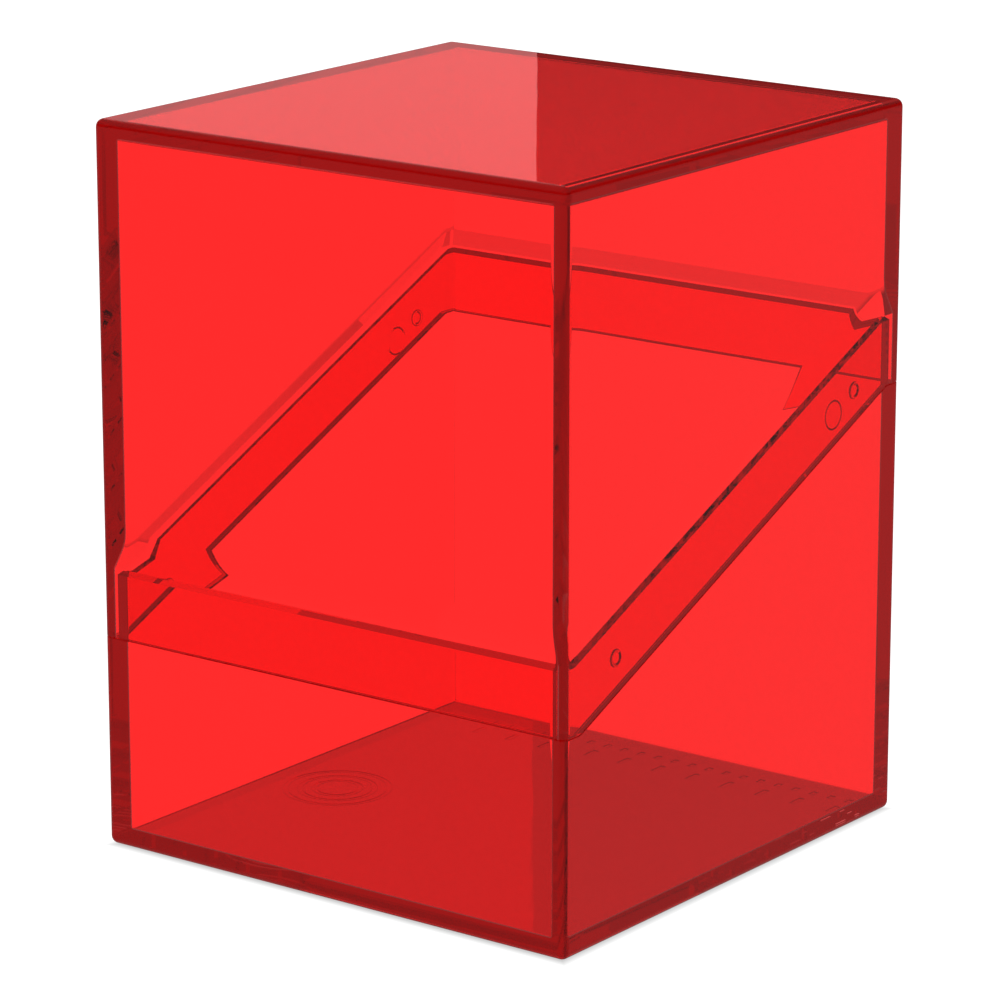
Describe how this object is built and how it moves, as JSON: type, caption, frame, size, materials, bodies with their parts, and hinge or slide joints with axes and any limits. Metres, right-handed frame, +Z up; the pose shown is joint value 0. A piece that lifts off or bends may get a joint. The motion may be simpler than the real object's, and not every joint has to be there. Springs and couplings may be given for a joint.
{
  "type": "card deck box",
  "caption": "Clear red plastic deck box for standard trading cards: a base with a slanted rim and raised collar, and a deep lid that lifts straight off.",
  "frame": {"origin": "on the surface that the box stands on, under the middle of its floor", "axes": "+Z up, the way the lid lifts; -Y towards the low front of the base's rim, +Y towards its high back; +X to the right seen from the front"},
  "size_m": [0.076, 0.076, 0.0989],
  "materials": {
    "base_plastic": "polished clear red moulding",
    "lid_plastic": "polished clear red moulding"
  },
  "bodies": {
    "base": {"base": "base_plastic"},
    "lid": {"lid": "lid_plastic"}
  },
  "joints": [
    {"name": "lid_lift", "type": "slide", "parent": "base", "child": "lid", "axis": [0, 0, 1], "range_m": [0, 0.05]}
  ]
}
